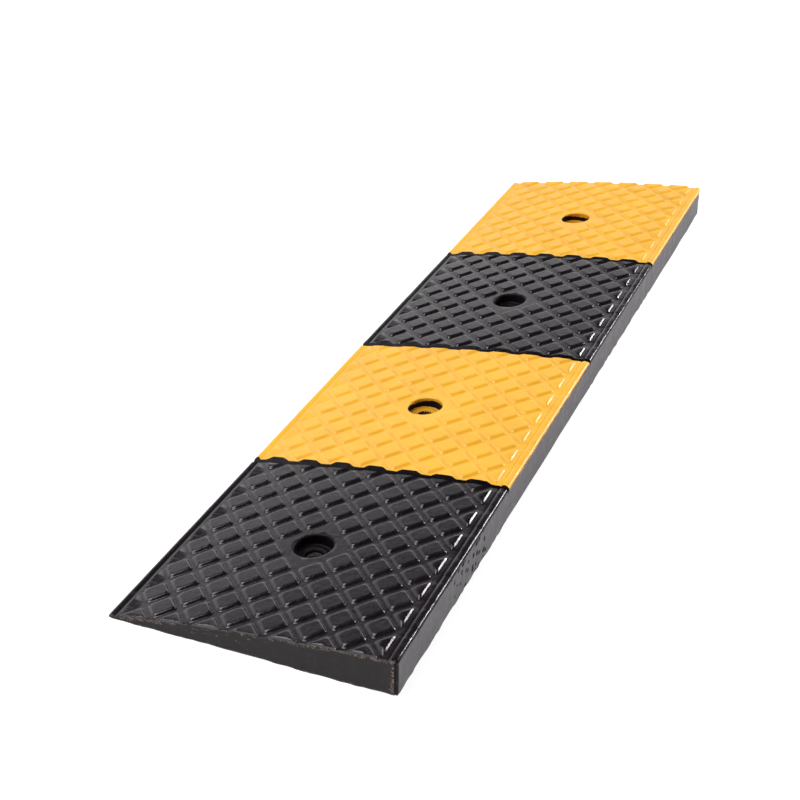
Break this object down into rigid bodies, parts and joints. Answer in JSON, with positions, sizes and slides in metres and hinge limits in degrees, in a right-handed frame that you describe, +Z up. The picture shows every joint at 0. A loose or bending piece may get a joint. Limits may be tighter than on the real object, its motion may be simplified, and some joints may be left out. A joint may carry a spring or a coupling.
{
  "type": "rubber speed bump",
  "caption": "Low one-sided rubber speed bump and kerb ramp with a diamond tread, black and yellow panels and bolt pockets along its middle.",
  "frame": {"origin": "middle of the flat underside", "axes": "+X across the strip towards the high edge, +Y along the strip, +Z up"},
  "size_m": [0.25, 1, 0.035],
  "materials": {
    "black_rubber": "moulded recycled black rubber, satin, faintly mottled, with a duller pitted side wall",
    "yellow_rubber": "glossy yellow rubber facing, a little more orange where it is thin",
    "zinc_steel": "zinc plated"
  },
  "bodies": {
    "root": {"rubber_body": "black_rubber", "front_yellow_facing": "yellow_rubber", "rear_yellow_facing": "yellow_rubber", "bolt_washer_1": "zinc_steel", "bolt_washer_2": "zinc_steel", "bolt_washer_3": "zinc_steel", "bolt_washer_4": "zinc_steel"}
  },
  "joints": []
}
